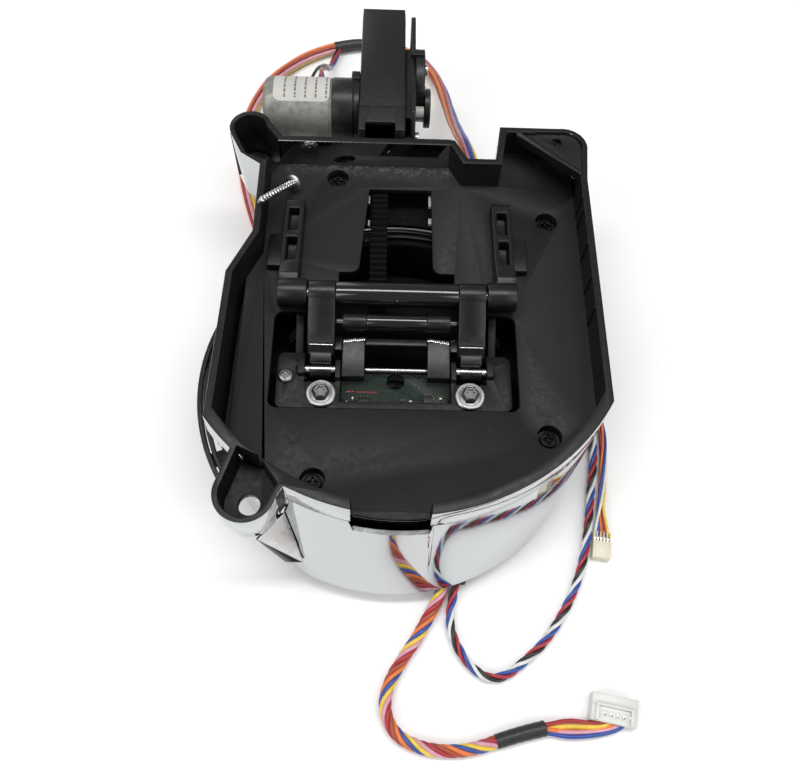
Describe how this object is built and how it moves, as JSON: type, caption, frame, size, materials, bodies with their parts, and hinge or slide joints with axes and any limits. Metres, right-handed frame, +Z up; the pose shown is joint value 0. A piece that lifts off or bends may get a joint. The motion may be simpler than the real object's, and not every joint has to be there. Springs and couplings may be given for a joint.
{
  "type": "lidar scanner module",
  "caption": "Round lidar scanning head on a parallel-arm lift, in an open tray with three fixing ears, with a rack drive, its motor and free leads.",
  "frame": {"origin": "on the scanning axis, in the plane that the module stands on", "axes": "+Z up with the tray's open side up, +Y towards the lift drive and its motor"},
  "size_m": [0.1478, 0.3111, 0.0564],
  "materials": {
    "matte_black_tray": "fine moulded texture, matt inside",
    "mirror_film": "bright reflective film on a curved wall",
    "black_cover": "moulded, half gloss",
    "black_acetal": "smooth moulded, low sheen",
    "gloss_black": "polished",
    "black_part": "moulded",
    "bright_steel": "bright turned",
    "dark_steel": "dark zinc",
    "grommet_rubber": "soft",
    "motor_zinc": "dull zinc plate",
    "label_paper": "satin paper film",
    "white_acetal": "moulded",
    "green_board": "solder mask",
    "plug_nylon": "moulded nylon",
    "copper_coil": "enamelled wire",
    "magnet_grey": "plated",
    "lens_glass": "dark red filter",
    "wire_pvc": "soft PVC, several colours",
    "sleeve_black": "shrink sleeve"
  },
  "bodies": {
    "housing": {"housing_tray": "matte_black_tray", "mirror_band": "mirror_film", "drum_shell": "black_cover", "guard_hoop": "black_cover", "base_ring": "black_cover", "rear_cover": "black_cover", "ear_gusset": "black_cover", "case_screws": "dark_steel", "hinge_bracket_left": "black_acetal", "hinge_bracket_right": "black_acetal", "arm_pivot_pins": "bright_steel", "link_pivot_pins": "bright_steel", "cable_grommets": "grommet_rubber", "gearbox_case": "black_cover", "gearbox_cover": "black_cover", "gear_hub_cover": "black_cover", "gearbox_screws": "bright_steel", "limit_switch": "black_part", "motor_can": "motor_zinc", "motor_end_cap": "black_cover", "motor_label": "label_paper", "mounting_screw": "bright_steel", "main_lead": "wire_pvc", "main_lead_sleeve": "sleeve_black", "main_lead_plug": "plug_nylon", "loop_lead": "wire_pvc", "sensor_lead": "wire_pvc", "sensor_lead_plug": "plug_nylon", "rear_harness": "wire_pvc", "rear_harness_sleeve": "sleeve_black", "motor_lead": "wire_pvc"},
    "lift_arm": {"lift_arm": "black_acetal", "cross_bar": "gloss_black", "arm_shaft": "gloss_black", "shaft_collars": "black_acetal", "front_rod": "bright_steel", "sector_gear": "black_acetal"},
    "guide_links": {"guide_links": "black_acetal"},
    "carriage": {"carriage_bracket": "black_acetal", "flange_screws": "dark_steel", "flange_washers": "bright_steel", "bracket_screw": "dark_steel", "carriage_pins": "bright_steel", "carrier_board": "green_board", "board_connector": "plug_nylon", "scanner_base": "black_part", "head_cap": "gloss_black", "spin_stator": "copper_coil", "spin_bearing": "bright_steel", "encoder_ring": "black_part"},
    "turret": {"turret_shell": "gloss_black", "turret_hub": "bright_steel", "magnet_ring": "magnet_grey", "turret_board": "green_board", "emitter_barrel": "black_part", "receiver_barrel": "black_part", "turret_lenses": "lens_glass"},
    "rack": {"lift_rack": "black_acetal"},
    "pinion": {"drive_pinion": "white_acetal"}
  },
  "joints": [
    {"name": "lift_hinge", "type": "hinge", "parent": "housing", "child": "lift_arm", "pos_m": [0, 0.0255, 0.045], "axis": [-1, 0, 0], "range_deg": [0, 29.4]},
    {"name": "guide_hinge", "type": "hinge", "parent": "housing", "child": "guide_links", "pos_m": [0, 0.0255, 0.034], "axis": [-1, 0, 0], "range_deg": [0, 29.5]},
    {"name": "carriage_hinge", "type": "hinge", "parent": "lift_arm", "child": "carriage", "pos_m": [0, 0.00228, 0.03447], "axis": [-1, 0, 0], "range_deg": [-29.5, 0]},
    {"name": "turret_spin", "type": "hinge", "parent": "carriage", "child": "turret", "pos_m": [0, 0, 0.018], "axis": [0, 0, 1], "continuous": true},
    {"name": "rack_slide", "type": "slide", "parent": "housing", "child": "rack", "axis": [0, -1, 0], "range_m": [0, 0.00413]},
    {"name": "pinion_spin", "type": "hinge", "parent": "housing", "child": "pinion", "pos_m": [-0.00675, 0.1131, 0.041], "axis": [-1, 0, 0], "range_deg": [0, 59]}
  ],
  "couplings": [
    {"joint": "guide_hinge", "follows": "lift_hinge", "ratio": 1},
    {"joint": "carriage_hinge", "follows": "lift_hinge", "ratio": -1},
    {"joint": "rack_slide", "follows": "lift_hinge", "m_per_rad": 0.008},
    {"joint": "pinion_spin", "follows": "lift_hinge", "ratio": 2}
  ]
}
